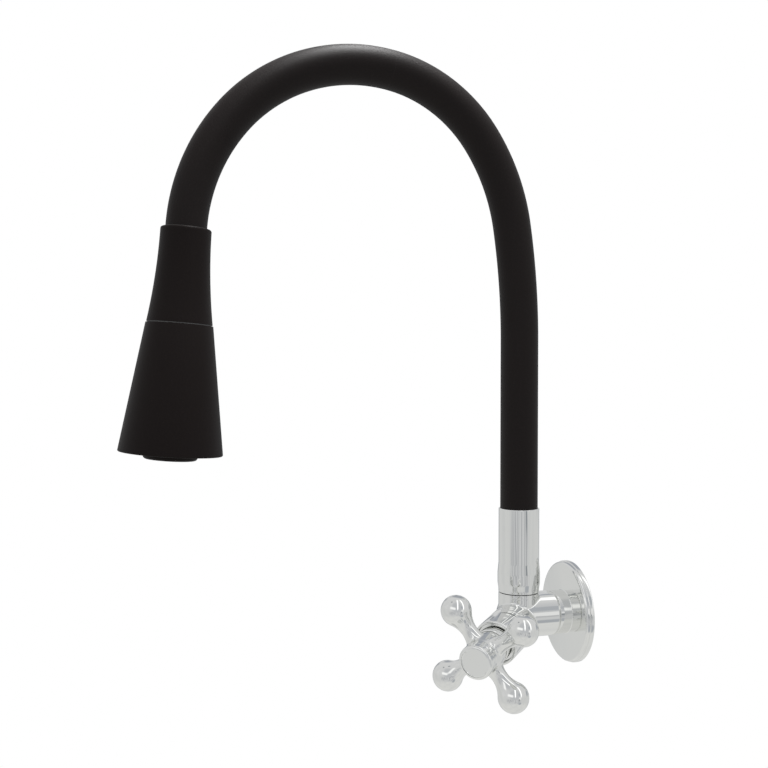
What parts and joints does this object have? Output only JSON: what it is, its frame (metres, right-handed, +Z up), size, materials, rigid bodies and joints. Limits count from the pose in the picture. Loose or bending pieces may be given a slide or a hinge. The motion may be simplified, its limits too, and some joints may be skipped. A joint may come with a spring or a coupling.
{
  "type": "flexible wall faucet",
  "caption": "Wall-mounted cold water faucet with a cross handle and a bendable gooseneck hose that ends in a cone-shaped spray head.",
  "frame": {"origin": "centre of the wall flange's back face, on the axis of the inlet thread, in the plane of the finished wall", "axes": "+Y along the inlet thread into the wall, +Z up along the riser of the spout, +X to the right seen by the user, towards the handle's side"},
  "size_m": [0.0945, 0.2736, 0.3671],
  "materials": {
    "chrome_plate": "polished chrome plate on brass",
    "nickel_plate": "nickel plate on machined brass",
    "machined_brass": "machined brass",
    "white_ceramic": "lapped ceramic",
    "white_nylon": "moulded nylon",
    "black_rubber": "moulded rubber",
    "hose_rubber": "soft matt black silicone cover",
    "spring_steel": "bright spring steel",
    "core_steel": "wound steel conduit",
    "hose_liner": "clear drinking water hose",
    "black_abs": "matt black moulded plastic",
    "grey_plastic": "grey moulded plastic",
    "grey_silicone": "grey silicone"
  },
  "bodies": {
    "wall_body": {"wall_flange": "chrome_plate", "flange_o_ring": "black_rubber", "valve_body": "chrome_plate", "cartridge_bonnet": "nickel_plate", "bonnet_o_ring": "black_rubber", "seat_seal": "black_rubber", "fixed_disc": "white_ceramic", "bonnet_shroud": "chrome_plate", "swivel_nipple": "machined_brass", "swivel_o_rings": "black_rubber", "swivel_washer": "white_nylon", "swivel_clip": "spring_steel"},
    "handle": {"cross_handle": "chrome_plate", "handle_screw": "spring_steel", "handle_cap": "chrome_plate", "valve_stem": "nickel_plate", "stem_o_rings": "black_rubber", "stem_washer": "white_nylon", "stem_clip": "spring_steel", "moving_disc": "white_ceramic"},
    "spout": {"spout_socket": "chrome_plate", "lower_hose_fitting": "machined_brass", "lower_ferrule": "spring_steel", "hose_cover_riser": "hose_rubber", "conduit_riser": "core_steel", "water_hose_riser": "hose_liner", "hose_cover_low_bend": "hose_rubber", "conduit_low_bend": "core_steel", "water_hose_low_bend": "hose_liner"},
    "arch": {"hose_cover_arch": "hose_rubber", "conduit_arch": "core_steel", "water_hose_arch": "hose_liner", "hose_cover_high_bend": "hose_rubber", "conduit_high_bend": "core_steel", "water_hose_high_bend": "hose_liner"},
    "spray_arm": {"hose_cover_drop": "hose_rubber", "conduit_drop": "core_steel", "water_hose_drop": "hose_liner", "upper_hose_fitting": "machined_brass", "upper_ferrule": "spring_steel", "head_washer": "black_rubber", "spray_neck": "black_abs", "spray_core": "grey_plastic", "core_clip": "spring_steel", "port_seal": "black_rubber"},
    "spray_head": {"spray_cone": "black_abs", "selector_disc": "grey_plastic", "spray_manifold": "grey_plastic", "spray_face": "black_abs", "nozzle_mat": "grey_silicone", "aerator_housing": "black_abs", "aerator_screen": "spring_steel"}
  },
  "joints": [
    {"name": "handle_turn", "type": "hinge", "parent": "wall_body", "child": "handle", "pos_m": [0, -0.0343, -0.0033], "axis": [0.7146, -0.6901, -0.1149], "range_deg": [0, 90]},
    {"name": "spout_swivel", "type": "hinge", "parent": "wall_body", "child": "spout", "pos_m": [0, -0.0343, 0], "axis": [0, 0, 1], "range_deg": [-90, 90]},
    {"name": "low_bend", "type": "hinge", "parent": "spout", "child": "arch", "pos_m": [0, -0.0343, 0.19585], "axis": [1, 0, 0], "range_deg": [-15, 20], "deforming": ["hose_cover_low_bend", "conduit_low_bend", "water_hose_low_bend"]},
    {"name": "high_bend", "type": "hinge", "parent": "arch", "child": "spray_arm", "pos_m": [0, -0.14446, 0.31935], "axis": [1, 0, 0], "range_deg": [-30, 25], "deforming": ["hose_cover_high_bend", "conduit_high_bend", "water_hose_high_bend"]},
    {"name": "jet_select", "type": "hinge", "parent": "spray_arm", "child": "spray_head", "pos_m": [0, -0.22774, 0.22108], "axis": [0, 0.0732, 0.9973], "range_deg": [0, 90]}
  ]
}
